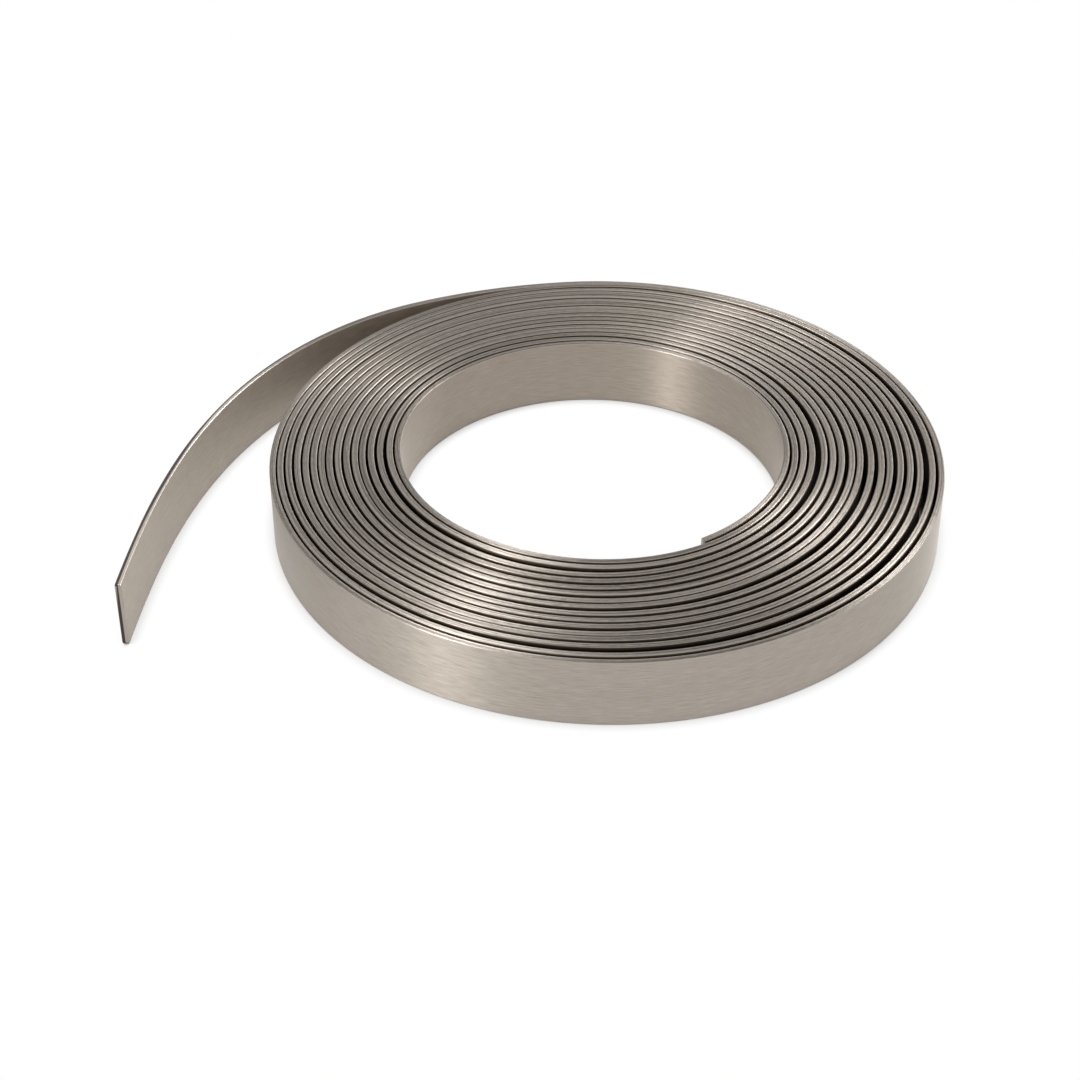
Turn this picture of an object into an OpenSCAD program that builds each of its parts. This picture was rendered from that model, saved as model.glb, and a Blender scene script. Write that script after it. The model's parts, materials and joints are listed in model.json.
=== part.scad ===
// Roll of stainless steel strapping.
// One flat strap, wound on its thickness as an open spiral that lies flat. A turn's
// radius grows where two arcs of it meet, once on the loose side and once opposite.
// The innermost turn is round instead and steps outward at its end, to clear the
// strap's inner end. The next few turns follow that step, less and less of it.
// The outer end lifts off the roll as a long free end.
// The origin is on the axis of the bore, in the plane that the roll lies on.

/* [Strap] */
// Width of the strap, and so the height of the roll
strap_width = 19; // [8:0.5:60]
// Thickness of the strap
strap_thickness = 1.6; // [0.8:0.05:3]

/* [Roll] */
// Diameter of the bore
bore_diameter = 102; // [60:1:300]
// Turns in the roll
turns = 17; // [7:1:22]
// Gap round the innermost turn
inner_gap = 0.45; // [0.4:0.05:2]
// Gap round the second turn
second_gap = 0.95; // [0.3:0.05:3]
// Gap between one turn and the next on the loose side
loose_gap = 1; // [0.3:0.05:3]
// Gap between one turn and the next opposite the loose side
tight_gap = 0.45; // [0.3:0.05:3]
// Extra gap on the loose side under the two outermost turns, which have sprung open
sprung_gap = 0.7; // [0:0.1:4]
// Direction of the loose side, seen from above
loose_side = -42; // [-180:1:180]

/* [Inner end] */
// Part of the innermost turn that is a true circle
bore_arc = 285; // [272:1:288]
// Turns over which the step at the inner end fades away
fading_turns = 4; // [1:1:6]

/* [Free end] */
// Angle past the loose side at which the free end lifts off the roll
lift_start = 140; // [100:1:175]
// Length of the stretch that lifts off
lift_length = 44; // [10:1:80]
// Radius of the stretch that lifts off
lift_radius = 140; // [110:1:400]
// Length of the free end past that stretch
free_end_length = 158.5; // [40:1:300]
// Radius of the bend that the free end starts with
free_end_radius = 80; // [70:0.5:200]
// Radius of the bend that is left at its tip
tip_radius = 1050; // [200:10:3000]

/* [Hidden] */
$fn = 360;

HALF_TURN = 180;
QUARTER_TURN = 90;
// A turn starts on the loose side, which lies along +X until the finished roll is
// turned. A step takes up the last quarter of its turn.
STEP_START = 270;
step_facets = 36;

// Neighbouring stretches share a whole face. So they meet on the X or Y axis,
// and their radii are kept to a thousandth of a millimetre.
function kept(size) = round(size * 1000) / 1000;

// Spacing from this turn to the next, the innermost one being turn 0.
function spacing(turn, gap) =
    strap_thickness + (turn == 0 ? inner_gap : turn == 1 ? second_gap : gap);

function loose_spacing(turn) =
    spacing(turn, loose_gap + (turn == turns - 3 ? sprung_gap : 0));

function step_share(turn) = max(0, 1 - turn / fading_turns);

// The radius grows by a step and, where two arcs meet, by half of what the step
// leaves of the spacing on the far side. The centre moves back by the same rise.
steps = [for (turn = [0:turns - 2]) kept(step_share(turn) * loose_spacing(turn))];
loose_rises = [
    for (turn = [0:turns - 2]) kept((loose_spacing(turn) - steps[turn]) / 2)
];
tight_rises = [
    for (turn = [0:turns - 2]) kept((spacing(turn, tight_gap) - steps[turn]) / 2)
];

function sum_of_first(n, list) = n == 0 ? 0 : list[n - 1] + sum_of_first(n - 1, list);

bore_radius = kept(bore_diameter / 2);
radii = [
    for (turn = [0:turns - 1])
        bore_radius + sum_of_first(turn, loose_rises + steps + tight_rises)
];
centres = [for (turn = [0:turns - 1]) sum_of_first(turn, loose_rises - tight_rises)];
last = turns - 1;

// The free end runs on from the last quarter turn as stretches of
// [radius, angle], and its bend eases from one radius to the other.
free_end_arcs = 6;
free_end_facet = 2.5;

function arc_angle(length, radius) = length / radius * HALF_TURN / PI;

function eased_radius(i) =
    let (share = (i + 1 / 2) / free_end_arcs)
    1 / ((1 - share) / free_end_radius + share / tip_radius);

free_end = [
    [radii[last], lift_start - QUARTER_TURN],
    [lift_radius, arc_angle(lift_length, lift_radius)],
    for (i = [0:free_end_arcs - 1])
        [eased_radius(i), arc_angle(free_end_length / free_end_arcs, eased_radius(i))]
];

function toward(direction) = [cos(direction), sin(direction)];

// The stretches as [centre, radius, direction of the start, angle].
function placed(stretches, centre, radius, direction, i = 0) =
    i == len(stretches) ? [] :
    let (next_radius = stretches[i][0])
    let (angle = stretches[i][1])
    let (next_centre = centre - (next_radius - radius) * toward(direction))
    concat(
        [[next_centre, next_radius, direction, angle]],
        placed(stretches, next_centre, next_radius, direction + angle, i + 1)
    );

free_end_placed = placed(free_end, [centres[last], 0], radii[last], QUARTER_TURN);

// Points along the free end, at this distance from its inner face.
function free_end_side(offset) = concat(
    [[centres[last], radii[last] + offset]],
    [
        for (arc = free_end_placed)
            let (facets = ceil(arc[1] * arc[3] * PI / HALF_TURN / free_end_facet))
            for (i = [1:facets])
                arc[0] + (arc[1] + offset) * toward(arc[2] + arc[3] * i / facets)
    ]
);

// Points along a step, whose radius swells smoothly over a quarter turn.
function step_side(start_radius, step) = [
    for (i = [0:step_facets])
        let (share = i / step_facets)
        let (swell = step * (1 - cos(HALF_TURN * share)) / 2)
        (start_radius + swell) * toward(STEP_START + QUARTER_TURN * share)
];

function reversed(points) = [for (i = [len(points) - 1:-1:0]) points[i]];

module strap_between(inner_side, outer_side) {
    linear_extrude(strap_width)
        polygon(concat(inner_side, reversed(outer_side)));
}

module strap_arc(centre, radius, start, angle) {
    translate([centre, 0, 0])
        rotate_extrude(angle = angle, start = start)
            translate([radius, 0])
                square([strap_thickness, strap_width]);
}

module strap_step(centre, radius, step) {
    translate([centre, 0, 0])
        strap_between(step_side(radius, step), step_side(radius + strap_thickness, step));
}

module innermost_turn() {
    strap_arc(0, bore_radius, STEP_START - bore_arc, bore_arc);
    strap_step(0, bore_radius, steps[0]);
}

module wound_turn(turn) {
    second_centre = centres[turn] + loose_rises[turn];
    second_radius = radii[turn] + loose_rises[turn];
    strap_arc(centres[turn], radii[turn], 0, HALF_TURN);
    if (steps[turn] > 0) {
        strap_arc(second_centre, second_radius, HALF_TURN, QUARTER_TURN);
        strap_step(second_centre, second_radius, steps[turn]);
    } else {
        strap_arc(second_centre, second_radius, HALF_TURN, HALF_TURN);
    }
}

module outermost_turn() {
    strap_arc(centres[last], radii[last], 0, QUARTER_TURN);
    strap_between(free_end_side(0), free_end_side(strap_thickness));
}

module strap() {
    color("silver")
        rotate([0, 0, loose_side]) {
            innermost_turn();
            for (turn = [1:last - 1])
                wound_turn(turn);
            outermost_turn();
        }
}

strap();
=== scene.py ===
"""Looks of the roll of stainless steel strapping.

The CAD solid has the strap's width, thickness, turns and free end, with square
edges. The piece here is that strap with its edges rounded, its turns a little
uneven, and a brushed finish that runs along it, in a plain white studio.
Everything is in metres, with +Z up along the bore.
"""

import json
import math

import bpy
import numpy as np
from mathutils import Matrix, Vector


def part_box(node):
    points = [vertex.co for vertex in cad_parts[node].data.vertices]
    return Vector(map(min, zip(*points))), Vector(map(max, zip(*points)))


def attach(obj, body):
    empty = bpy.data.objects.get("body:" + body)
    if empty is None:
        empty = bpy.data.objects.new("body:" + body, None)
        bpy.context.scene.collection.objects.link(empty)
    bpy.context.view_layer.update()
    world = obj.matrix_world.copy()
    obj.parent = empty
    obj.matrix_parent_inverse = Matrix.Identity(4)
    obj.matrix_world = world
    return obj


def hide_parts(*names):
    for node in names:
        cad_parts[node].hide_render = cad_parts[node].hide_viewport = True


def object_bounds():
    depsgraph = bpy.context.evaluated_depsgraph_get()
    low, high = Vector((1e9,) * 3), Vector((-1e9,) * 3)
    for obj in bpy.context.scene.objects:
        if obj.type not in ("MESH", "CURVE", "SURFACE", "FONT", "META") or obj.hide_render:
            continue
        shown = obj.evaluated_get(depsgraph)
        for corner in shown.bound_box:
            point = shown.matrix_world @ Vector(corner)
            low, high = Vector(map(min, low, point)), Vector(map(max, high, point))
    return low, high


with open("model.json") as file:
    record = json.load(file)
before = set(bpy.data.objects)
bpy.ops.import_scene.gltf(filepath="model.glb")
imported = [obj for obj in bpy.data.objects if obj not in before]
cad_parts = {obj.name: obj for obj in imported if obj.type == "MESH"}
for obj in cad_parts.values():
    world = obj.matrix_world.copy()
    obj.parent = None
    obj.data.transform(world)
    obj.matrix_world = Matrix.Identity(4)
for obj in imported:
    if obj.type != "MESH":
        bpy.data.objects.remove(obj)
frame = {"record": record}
cad_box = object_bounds()

MM = 0.001
FULL_TURN = math.tau
HALF_TURN = math.pi
QUARTER_TURN = math.pi / 2

# --- The strap, wound as the CAD solid is, from the same named sizes ----------

bore = next(m for m in frame["record"]["mounts"] if m["name"] == "bore")
BORE_RADIUS = bore["dims"]["r_mm"] * MM
STRAP_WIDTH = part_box("strap")[1].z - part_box("strap")[0].z
THICKNESS = 1.6 * MM
TURNS = 17
INNER_GAP = 0.45 * MM
SECOND_GAP = 0.95 * MM
LOOSE_GAP = 1.0 * MM
TIGHT_GAP = 0.45 * MM
SPRUNG_GAP = 0.7 * MM
LOOSE_SIDE = math.radians(-42)
BORE_ARC = math.radians(285)
FADING_TURNS = 4
LIFT_START = math.radians(140)
LIFT_LENGTH = 44 * MM
LIFT_RADIUS = 140 * MM
FREE_END_LENGTH = 158.5 * MM
FREE_END_RADIUS = 80 * MM
TIP_RADIUS = 1050 * MM
FREE_END_ARCS = 6

# --- Rounded edges and corners ------------------------------------------------

EDGE_RADIUS = 0.3 * MM
CORNER_SEGMENTS = 3
TIP_TOP_CORNER = 0.4 * MM
TIP_LOW_CORNER = 1.0 * MM

# --- How uneven a roll wound by a machine still is ----------------------------

# The most that a turn moves in or out, on the tight side and on the loose side.
TIGHT_WANDER = 0.24 * MM
LOOSE_WANDER = 0.65 * MM
# The height that a turn stands up by on average.
HEIGHT_WANDER = 0.26 * MM
# The turns before the tip that keep their place, the free end among them.
STEADY_TURNS = 0.4
# A wander is a sum of waves, the lowest at least this share of the highest.
WAVES = 7
LOWEST_WAVE = 0.5
# The slowest and the fastest wave, in waves to a turn.
SIDE_WAVES = {"seed": 2, "slowest": 0.15, "fastest": 2.7}
HEIGHT_WAVES = {"seed": 8, "slowest": 0.1, "fastest": 1.2}

# --- How finely the strap is cut into rings -----------------------------------

RING_STEP = math.radians(1.8)
RING_SPACING = 2.4 * MM
# The last rings' distances from the tip, close enough together for its round corners.
TIP_RINGS = [distance * MM for distance in (1.0, 0.7, 0.4, 0.25, 0.1, 0.03, 0.0)]

# --- Where one turn covers another --------------------------------------------

# Turns from the inner end to where the free end lifts off.
LIFT_TURN = TURNS - 1 + (BORE_ARC - 3 * QUARTER_TURN + LIFT_START) / FULL_TURN
# The share of a turn over which the painted shade in a gap fades in from where it begins.
COVER_FADE = 0.03


def toward(angle):
    return np.array([math.cos(angle), math.sin(angle)])


def wound_stretches():
    """The strap's inner face, from the bore out.

    Each stretch is its centre, radius, start angle, turn, and swell over that turn.
    """
    stretches = []
    centre, radius, angle = np.zeros(2), BORE_RADIUS, 3 * QUARTER_TURN - BORE_ARC

    def run_on(rise, turn, swell=0.0):
        nonlocal centre, radius, angle
        centre = centre - rise * toward(angle)
        radius += rise
        stretches.append((centre, radius, angle, turn, swell))
        radius += swell
        angle += turn

    run_on(0.0, BORE_ARC)
    run_on(0.0, QUARTER_TURN, THICKNESS + INNER_GAP)
    rise = 0.0
    for turn in range(1, TURNS - 1):
        sprung = SPRUNG_GAP if turn == TURNS - 3 else 0.0
        loose = THICKNESS + (SECOND_GAP if turn == 1 else LOOSE_GAP + sprung)
        tight = THICKNESS + (SECOND_GAP if turn == 1 else TIGHT_GAP)
        step = max(0.0, 1 - turn / FADING_TURNS) * loose
        run_on(rise, HALF_TURN)
        run_on((loose - step) / 2, QUARTER_TURN)
        run_on(0.0, QUARTER_TURN, step)
        rise = (tight - step) / 2
    run_on(rise, LIFT_START)
    run_on(LIFT_RADIUS - radius, LIFT_LENGTH / LIFT_RADIUS)
    for i in range(FREE_END_ARCS):
        share = (i + 0.5) / FREE_END_ARCS
        eased = 1 / ((1 - share) / FREE_END_RADIUS + share / TIP_RADIUS)
        run_on(eased - radius, FREE_END_LENGTH / FREE_END_ARCS / eased)
    return stretches


def centre_line():
    """Points along the middle of the strap's thickness, with the loose side along +X."""
    points = []
    for centre, radius, start, turn, swell in wound_stretches():
        count = math.ceil(max(turn / RING_STEP, turn * radius / RING_SPACING))
        for share in np.arange(count) / count:
            out = radius + swell * (1 - math.cos(HALF_TURN * share)) / 2 + THICKNESS / 2
            points.append(centre + out * toward(start + turn * share))
    centre, radius, start, turn, _ = wound_stretches()[-1]
    tip = centre + (radius + THICKNESS / 2) * toward(start + turn)
    before = points[-1] - tip
    for back in TIP_RINGS:
        points.append(tip + back * before / np.linalg.norm(before))
    return np.array(points)


def turned_to_loose_side(points):
    cosine, sine = math.cos(LOOSE_SIDE), math.sin(LOOSE_SIDE)
    return points @ np.array([[cosine, sine], [-sine, cosine]])


def wander(turns, seed, slowest, fastest):
    """A smooth curve between -1 and 1 along the strap, which differs from one turn to the next."""
    rng = np.random.default_rng(seed)
    waves = rng.uniform(slowest, fastest, WAVES)
    phases = rng.uniform(0, FULL_TURN, WAVES)
    heights = rng.uniform(LOWEST_WAVE, 1.0, WAVES)
    total = sum(h * np.sin(FULL_TURN * w * turns + p) for h, w, p in zip(heights, waves, phases))
    return total / heights.sum()


def strap_rings():
    """The strap's rings, from the inner end to the tip.

    Gives their middle points, outward directions, lengths along the strap, heights
    of the lower edge, and turns wound.
    """
    points = centre_line()
    looseness = (1 + points[:, 0] / np.linalg.norm(points, axis=1)) / 2
    points = turned_to_loose_side(points)
    steps = np.linalg.norm(np.diff(points, axis=0), axis=1)
    along = np.concatenate([[0.0], np.cumsum(steps)])
    tangents = np.gradient(points, along, axis=0)
    tangents /= np.linalg.norm(tangents, axis=1)[:, None]
    outward = np.stack([tangents[:, 1], -tangents[:, 0]], 1)
    turns = np.unwrap(np.arctan2(tangents[:, 1], tangents[:, 0])) / FULL_TURN

    # The wander grows from nothing over the first turn, and is gone before the free end.
    past_start = np.clip(turns - turns[0], 0, 1)
    before_end = np.clip(turns[-1] - STEADY_TURNS - turns, 0, 1)
    slack = TIGHT_WANDER + (LOOSE_WANDER - TIGHT_WANDER) * looseness
    side = slack * (past_start * before_end) * wander(turns, **SIDE_WAVES)
    height = HEIGHT_WANDER * (1 + wander(turns, **HEIGHT_WAVES)) * before_end
    return points + side[:, None] * outward, outward, along, height, turns


def covered(turns):
    """How far each ring's outer face, and its inner face, is covered by another turn, up to 1."""
    full = np.clip((turns - turns[0] - 1) / COVER_FADE, 0, 1)
    lift = turns[0] + LIFT_TURN
    outer = np.clip((lift - 1 - turns) / COVER_FADE, 0, 1)
    inner = np.minimum(full, np.clip((lift - turns) / COVER_FADE, 0, 1))
    return outer, inner


def section():
    """The strap's section with rounded edges: points and outward normals.

    Both are given across the thickness, and up.
    """
    half = THICKNESS / 2 - EDGE_RADIUS
    low, high = EDGE_RADIUS, STRAP_WIDTH - EDGE_RADIUS
    corners = [
        (half, low, -QUARTER_TURN),
        (half, high, 0.0),
        (-half, high, QUARTER_TURN),
        (-half, low, HALF_TURN),
    ]
    points, normals = [], []
    for across, up, start in corners:
        for i in range(CORNER_SEGMENTS + 1):
            normal = toward(start + QUARTER_TURN * i / CORNER_SEGMENTS)
            points.append(np.array([across, up]) + EDGE_RADIUS * normal)
            normals.append(normal)
    return np.array(points), np.array(normals)


def corner_trim(along, corner):
    """How much a round corner of the tip takes off the strap's width at each ring."""
    near = np.clip(1 - (along[-1] - along) / corner, 0, 1)
    return corner * (1 - np.sqrt(1 - near ** 2))


def ring_faces(count, around):
    """Faces between neighbouring rings, then one over each end of the strap."""
    faces = []
    for ring in range(count - 1):
        here, after = ring * around, (ring + 1) * around
        for i in range(around):
            j = (i + 1) % around
            faces.append((after + i, after + j, here + j, here + i))
    first_cap = tuple(range(around))
    last_cap = tuple(range((count - 1) * around, count * around))[::-1]
    return faces + [first_cap, last_cap]


def add_length_map(mesh, points, along):
    """One unit of this map is one metre, along the strap and round its section."""
    around = len(points)
    steps = np.linalg.norm(np.diff(points, axis=0), axis=1)
    girth = np.concatenate([[0.0], np.cumsum(steps)])
    whole = girth[-1] + np.linalg.norm(points[0] - points[-1])
    layer = mesh.uv_layers.new(name="StrapLength")
    for polygon in mesh.polygons:
        closes_section = {v % around for v in polygon.vertices} == {0, around - 1}
        for loop_index in polygon.loop_indices:
            ring, i = divmod(mesh.loops[loop_index].vertex_index, around)
            round_section = whole if closes_section and i == 0 else girth[i]
            layer.data[loop_index].uv = (along[ring], round_section)


def add_normals(mesh, facing, cap_count):
    """Smooth shading along the strap, and flat ends."""
    first_cap = len(mesh.polygons) - cap_count
    normals = []
    for polygon in mesh.polygons:
        on_cap = polygon.index >= first_cap
        for loop_index in polygon.loop_indices:
            vertex = mesh.loops[loop_index].vertex_index
            normals.append(tuple(polygon.normal) if on_cap else tuple(facing[vertex]))
    mesh.polygons.foreach_set("use_smooth", [True] * len(mesh.polygons))
    mesh.normals_split_custom_set(normals)


def add_values(mesh, name, values):
    attribute = mesh.attributes.new(name, "FLOAT", "POINT")
    attribute.data.foreach_set("value", values.astype(np.float32))


def strap_mesh(name):
    middles, outward, along, height, turns = strap_rings()
    points, normals = section()
    count, around = len(middles), len(points)

    lowest = height + corner_trim(along, TIP_LOW_CORNER)
    highest = height + STRAP_WIDTH - corner_trim(along, TIP_TOP_CORNER)
    share_up = points[:, 1] / STRAP_WIDTH
    up = lowest[:, None] + share_up[None, :] * (highest - lowest)[:, None]
    flat = middles[:, None, :] + points[None, :, 0, None] * outward[:, None, :]
    corners = np.concatenate([flat, up[:, :, None]], 2).reshape(-1, 3)
    facing = np.concatenate([
        normals[None, :, 0, None] * outward[:, None, :],
        np.broadcast_to(normals[None, :, 1, None], (count, around, 1)),
    ], 2).reshape(-1, 3)

    mesh = bpy.data.meshes.new(name)
    mesh.from_pydata(corners.tolist(), [], ring_faces(count, around))
    mesh.update()
    add_length_map(mesh, points, along)
    add_normals(mesh, facing, cap_count=2)

    side = normals[:, 0]
    # How far each face is covered by another turn. The material paints shade into the gaps by this.
    outer, inner = covered(turns)
    faces_out, faces_in = np.clip(side, 0, 1), np.clip(-side, 0, 1)
    hidden = outer[:, None] * faces_out[None, :] + inner[:, None] * faces_in[None, :]
    near_tip = np.clip(1 - (along[-1] - along) / FREE_END_LENGTH, 0, 1)
    add_values(mesh, "edge", np.tile(abs(normals[:, 1]), count))
    add_values(mesh, "across", np.tile(points[:, 0] / (THICKNESS / 2), count))
    add_values(mesh, "level", np.tile(share_up, count))
    add_values(mesh, "inward", np.tile(side < -0.5, count))
    add_values(mesh, "gap", hidden.ravel())
    add_values(mesh, "near_tip", np.repeat(near_tip, around))
    return mesh


# --- Materials ----------------------------------------------------------------

STEEL_DARK = (0.362, 0.319, 0.272, 1)
STEEL_LIGHT = (0.452, 0.408, 0.357, 1)
# Painted shade that darkens the face that looks inward.
INWARD_SHADE = (0.87, 0.845, 0.82, 1)
SLIT_DARK = (0.125, 0.11, 0.095, 1)
SLIT_LIGHT = (0.265, 0.24, 0.213, 1)
TORN_LINE = (0.06, 0.052, 0.045, 1)
# A lighter burr on the rounded edges, partly a painted highlight.
BURR_AND_HIGHLIGHT = (0.52, 0.475, 0.42, 1)
# Painted shade in the gaps between turns: near the rim, and deep down.
GAP_RIM_SHADE = (0.25, 0.205, 0.155, 1)
GAP_DEPTH_SHADE = (0.036, 0.027, 0.019, 1)
# A streak this wide is the same all across the strap.
FAR_PAST_WIDTH = 1.0


class Nodes:
    """Adds the nodes of one material, each wired to sockets or plain values."""

    def __init__(self, material):
        material.use_nodes = True
        self.tree = material.node_tree
        self.tree.nodes.clear()

    def wire(self, socket, value):
        if isinstance(value, bpy.types.NodeSocket):
            self.tree.links.new(value, socket)
        else:
            socket.default_value = value

    def add(self, kind, inputs=None, **settings):
        node = self.tree.nodes.new("ShaderNode" + kind)
        for key, value in settings.items():
            setattr(node, key, value)
        for key, value in (inputs or {}).items():
            self.wire(node.inputs[key], value)
        return node

    def streaks(self, coordinates, along, across, seed, detail=2.0):
        """Noise drawn out along the strap. along and across are the size of a streak."""
        scaled = self.add("Mapping", {
            "Vector": coordinates,
            "Location": (seed, seed / 3, 0),
            "Scale": (1 / along, 1 / across, 1),
        })
        noise = self.add("TexNoise", {
            "Vector": scaled.outputs[0],
            "Scale": 1.0,
            "Detail": detail,
            "Roughness": 0.6,
        }, noise_dimensions="2D")
        return noise.outputs[0]

    def ramp(self, factor, low, high, start=0.0, end=1.0):
        """factor between low and high becomes start to end."""
        return self.add("MapRange", {
            "Value": factor,
            "From Min": low,
            "From Max": high,
            "To Min": start,
            "To Max": end,
        }).outputs[0]

    def blend(self, factor, first, second, mode="MIX"):
        node = self.add("Mix", data_type="RGBA", blend_type=mode)
        # A Mix node has a set of sockets for each data type. These are the colour's.
        for index, value in ((0, factor), (6, first), (7, second)):
            self.wire(node.inputs[index], value)
        return node.outputs[2]

    def maths(self, operation, *values):
        node = self.add("Math", operation=operation)
        for socket, value in zip(node.inputs, values):
            self.wire(socket, value)
        return node.outputs[0]

    def distance(self, first, second):
        return self.maths("ABSOLUTE", self.maths("SUBTRACT", first, second))

    def weighted_sum(self, *parts):
        """The sum of values, each with its weight."""
        total, *others = [self.maths("MULTIPLY", value, weight) for value, weight in parts]
        for other in others:
            total = self.maths("ADD", total, other)
        return total


def brushed_steel(name):
    """Satin stainless with brushing along the strap, and darker, lined slit edges. Shade is painted
    into the gaps between turns and onto the face that looks inward, and a highlight onto the burr.
    """
    material = bpy.data.materials.new(name)
    nodes = Nodes(material)
    place = nodes.add("UVMap", uv_map="StrapLength").outputs[0]
    edge, across, level, inward, gap, near_tip = (
        nodes.add("Attribute", attribute_name=values).outputs["Fac"]
        for values in ("edge", "across", "level", "inward", "gap", "near_tip"))
    on_edge = nodes.ramp(edge, 0.3, 0.8)
    # 1 over the half of the free end nearest the tip, fading to 0 beyond it.
    at_tip = nodes.ramp(near_tip, 0.2, 0.5)

    # The wide faces: brushing, and painted shade that makes the face that looks inward a little
    # darker.
    broad = nodes.streaks(place, along=120 * MM, across=5 * MM, seed=1.7)
    lines = nodes.streaks(place, along=14 * MM, across=0.34 * MM, seed=4.1)
    hair = nodes.streaks(place, along=5 * MM, across=0.18 * MM, seed=8.3)
    tone = nodes.weighted_sum((broad, 0.08), (lines, 0.22), (hair, 0.70))
    face = nodes.blend(nodes.ramp(tone, 0.38, 0.62), STEEL_DARK, STEEL_LIGHT)
    face = nodes.blend(inward, face, nodes.blend(1.0, face, INWARD_SHADE, "MULTIPLY"))

    # The slit edges: lined and grainy, with a lighter burr along both rounded edges, which also
    # paints in the highlight that they catch. Near the tip the edge is brighter and has no burr.
    slit_lines = nodes.streaks(place, along=250 * MM, across=0.45 * MM, seed=12.9)
    slit_grain = nodes.streaks(place, along=2 * MM, across=0.2 * MM, seed=5.6)
    slit_tone = nodes.weighted_sum((slit_lines, 0.6), (slit_grain, 0.4))
    slit = nodes.blend(nodes.ramp(slit_tone, 0.40, 0.60), SLIT_DARK, SLIT_LIGHT)
    slit = nodes.blend(nodes.maths("MULTIPLY", at_tip, 0.6), slit, BURR_AND_HIGHLIGHT)
    colour = nodes.blend(on_edge, face, slit)
    burr_and_highlight = nodes.ramp(nodes.distance(edge, 0.5), 0.0, 0.35, start=0.6, end=0.0)
    burr_and_highlight = nodes.maths("MULTIPLY", burr_and_highlight, nodes.maths("SUBTRACT", 1.0, at_tip))
    colour = nodes.blend(burr_and_highlight, colour, BURR_AND_HIGHLIGHT)

    # The torn line wanders along the slit edge, narrow and in places weak. Near the
    # tip it is strong and wide, and lies to the outside.
    wobble = nodes.streaks(place, along=60 * MM, across=FAR_PAST_WIDTH, seed=2.9, detail=1.0)
    wobble = nodes.ramp(wobble, 0.35, 0.65, start=-0.25, end=0.25)
    torn_place = nodes.maths("ADD", wobble, nodes.maths("MULTIPLY", at_tip, 0.5))
    from_line = nodes.distance(across, torn_place)
    from_line = nodes.maths("SUBTRACT", from_line, nodes.maths("MULTIPLY", at_tip, 0.45))
    strength = nodes.streaks(place, along=30 * MM, across=FAR_PAST_WIDTH, seed=6.7, detail=1.0)
    strength = nodes.maths("MAXIMUM", nodes.ramp(strength, 0.35, 0.55, start=0.2), at_tip)
    torn = nodes.maths("MULTIPLY", strength, nodes.ramp(from_line, 0.0, 0.2, start=1.0, end=0.0))
    torn = nodes.maths("MULTIPLY", torn, nodes.ramp(edge, 0.1, 0.5))
    colour = nodes.blend(torn, colour, TORN_LINE)

    # The gaps between turns: shade painted into the colour, since little light gets in, and darker
    # the deeper they go.
    from_rim = nodes.maths("MINIMUM", level, nodes.maths("SUBTRACT", 1.0, level))
    painted_gap_shade = nodes.blend(nodes.ramp(from_rim, 0.005, 0.06), GAP_RIM_SHADE, GAP_DEPTH_SHADE)
    colour = nodes.blend(nodes.ramp(gap, 0.7, 1.0), colour, painted_gap_shade)

    rough = nodes.ramp(lines, 0.3, 0.7, start=0.385, end=0.415)
    rough = nodes.maths("ADD", rough, nodes.ramp(hair, 0.3, 0.7, start=-0.03, end=0.03))
    rough = nodes.maths("SUBTRACT", rough, nodes.maths("MULTIPLY", edge, 0.06))

    relief = nodes.weighted_sum((lines, 0.3), (hair, 0.7))
    relief = nodes.maths("MULTIPLY", relief, nodes.ramp(on_edge, 0.0, 1.0, start=1.0, end=0.3))
    bump = nodes.add("Bump", {"Height": relief, "Distance": 0.02 * MM, "Strength": 0.35})

    tangent = nodes.add("Tangent", direction_type="UV_MAP", uv_map="StrapLength")
    shader = nodes.add("BsdfPrincipled", {
        "Base Color": colour,
        "Metallic": 1.0,
        "Roughness": rough,
        "Anisotropic": 0.85,
        "Anisotropic Rotation": 0.25,
        "Tangent": tangent.outputs[0],
        "Normal": bump.outputs[0],
    })
    nodes.add("OutputMaterial", {"Surface": shader.outputs[0]})
    return material


# --- Studio -------------------------------------------------------------------

WHITE = (1, 1, 1, 1)
FLOOR_GREY = (0.8, 0.8, 0.8, 1)
FLOOR_RADIUS = 6.0
FLOOR_SIDES = 96
FLOOR_DROP = 0.02 * MM
# How far the roll's shade on the floor reaches, and how open to the room the floor
# is where the shade is full and where it ends.
SHADE_REACH = 4.5 * MM
SHADE_SAMPLES = 16
FULL_SHADE = 0.25
NO_SHADE = 0.85
# The room's strength as light, where 1 is white.
ROOM_LIGHT = 0.75

CAMERA_SENSOR_MM = 36
CAMERA_LENS_MM = 75.3
CAMERA_SHIFT = (-0.0476, -0.0359)
CAMERA_DISTANCE = 0.614
CAMERA_ELEVATION = math.radians(35.2)
CAMERA_ROLL = math.radians(0.78)


def seen_directly(nodes):
    """1 where a surface is seen, straight or in metal or glass, and 0 for the light it sheds."""
    path = nodes.add("LightPath")
    seen = nodes.maths("MAXIMUM", path.outputs["Is Camera Ray"], path.outputs["Is Glossy Ray"])
    return nodes.maths("MAXIMUM", seen, path.outputs["Is Transmission Ray"])


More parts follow.
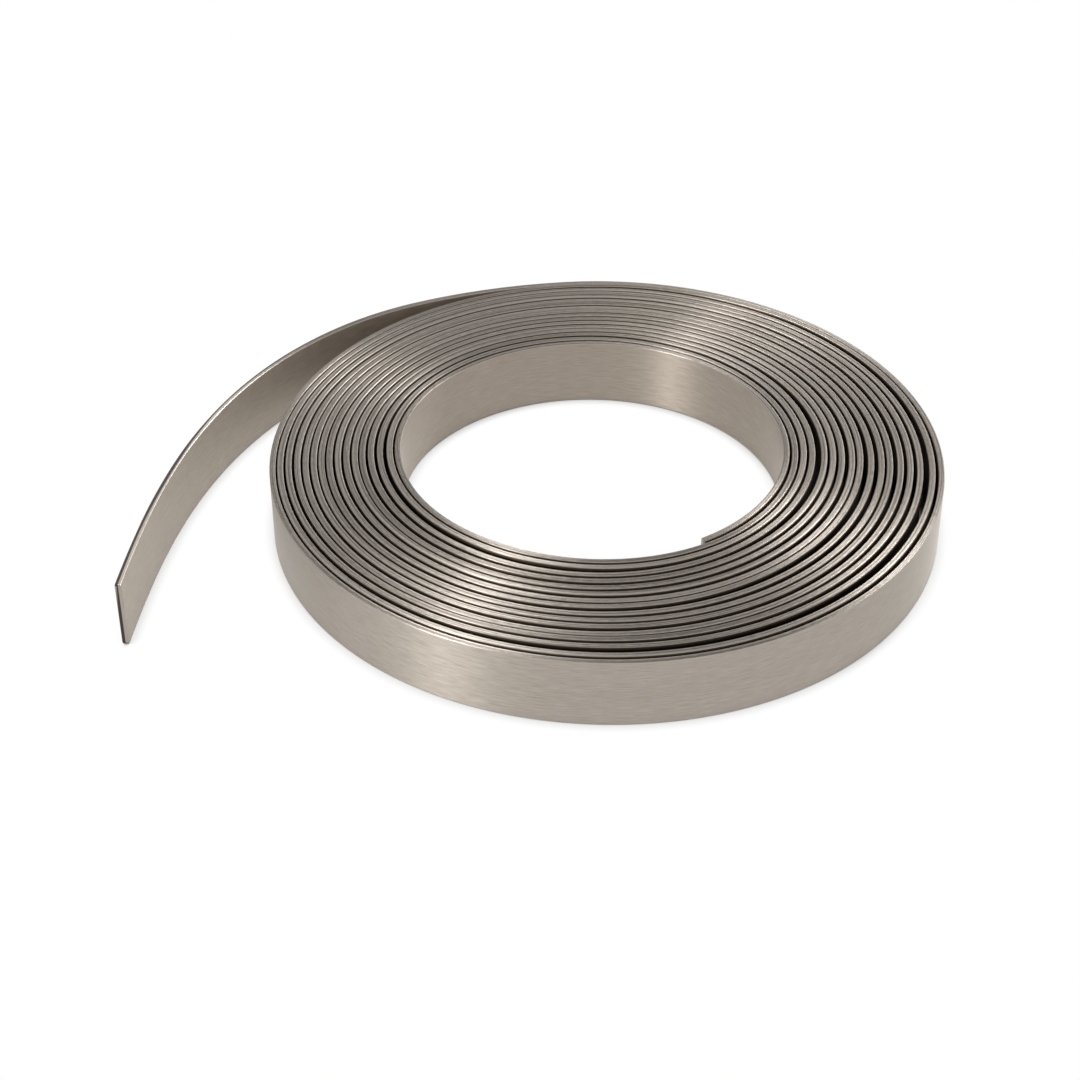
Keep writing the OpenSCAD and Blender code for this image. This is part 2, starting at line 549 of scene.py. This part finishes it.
def studio_white(name):
    """A matt floor that shows as white in the open, and keeps its shade under and beside the roll."""
    material = bpy.data.materials.new(name)
    nodes = Nodes(material)
    matt = nodes.add("BsdfDiffuse", {"Color": FLOOR_GREY})
    plain = nodes.add("Emission", {"Color": WHITE, "Strength": 1.0})
    openness = nodes.add("AmbientOcclusion", {"Distance": SHADE_REACH}, samples=SHADE_SAMPLES)
    openness = nodes.ramp(openness.outputs["AO"], FULL_SHADE, NO_SHADE)
    share = nodes.maths("MULTIPLY", seen_directly(nodes), openness)
    mixed = nodes.add("MixShader", {0: share, 1: matt.outputs[0], 2: plain.outputs[0]})
    nodes.add("OutputMaterial", {"Surface": mixed.outputs[0]})
    return material


def floor_disc(name):
    mesh = bpy.data.meshes.new(name)
    angles = np.linspace(0, FULL_TURN, FLOOR_SIDES, endpoint=False)
    rim = [(*(FLOOR_RADIUS * toward(angle)), 0.0) for angle in angles]
    mesh.from_pydata(rim, [], [tuple(range(FLOOR_SIDES))])
    disc = bpy.data.objects.new(name, mesh)
    bpy.context.scene.collection.objects.link(disc)
    disc.location.z = cad_box[0].z - FLOOR_DROP
    mesh.materials.append(studio_white(name))
    return disc


def softbox(name, azimuth, elevation, distance, width, height, power):
    """A rectangular lamp at that azimuth and elevation from the roll, which faces it."""
    lamp = bpy.data.lights.new(name, "AREA")
    lamp.shape = "RECTANGLE"
    lamp.size, lamp.size_y = width, height
    lamp.energy = power
    holder = bpy.data.objects.new(name, lamp)
    bpy.context.scene.collection.objects.link(holder)
    a, e = math.radians(azimuth), math.radians(elevation)
    place = distance * Vector((math.cos(e) * math.cos(a), math.cos(e) * math.sin(a), math.sin(e)))
    facing = place.to_track_quat("Z", "Y").to_matrix().to_4x4()
    holder.matrix_world = Matrix.Translation(place) @ facing


def room():
    """A white room: white where it is seen, and a little dimmer as light."""
    world = bpy.data.worlds.new("room")
    bpy.context.scene.world = world
    nodes = Nodes(world)
    strength = nodes.ramp(seen_directly(nodes), 0.0, 1.0, start=ROOM_LIGHT)
    background = nodes.add("Background", {"Color": WHITE, "Strength": strength})
    nodes.add("OutputWorld", {"Surface": background.outputs[0]})


def camera():
    lens = bpy.data.cameras.new("camera")
    lens.sensor_width = CAMERA_SENSOR_MM
    lens.lens = CAMERA_LENS_MM
    lens.shift_x, lens.shift_y = CAMERA_SHIFT
    holder = bpy.data.objects.new("camera", lens)
    bpy.context.scene.collection.objects.link(holder)
    from_roll = Vector((0, -math.cos(CAMERA_ELEVATION), math.sin(CAMERA_ELEVATION)))
    place = CAMERA_DISTANCE * from_roll
    facing = (-place).to_track_quat("-Z", "Y").to_matrix().to_4x4()
    roll = Matrix.Rotation(CAMERA_ROLL, 4, "Z")
    holder.matrix_world = Matrix.Translation(place) @ facing @ roll
    bpy.context.scene.camera = holder


# --- The scene ----------------------------------------------------------------

strap = bpy.data.objects.new("wound_strap", strap_mesh("wound_strap"))
bpy.context.scene.collection.objects.link(strap)
strap.data.materials.append(brushed_steel("brushed_steel"))
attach(strap, "root")
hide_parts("strap")

floor_disc("studio_floor")
room()
softbox("low_left", azimuth=-138, elevation=22, distance=1.1, width=0.30, height=0.45, power=6.4)
softbox("low_right", azimuth=62, elevation=12, distance=1.4, width=0.85, height=0.5, power=3.4)
softbox("high_left", azimuth=109, elevation=58, distance=1.2, width=0.18, height=0.18, power=4.3)
softbox("high_right", azimuth=53, elevation=44, distance=1.2, width=0.25, height=0.25, power=6.0)
camera()
bpy.context.scene.view_settings.view_transform = "Standard"
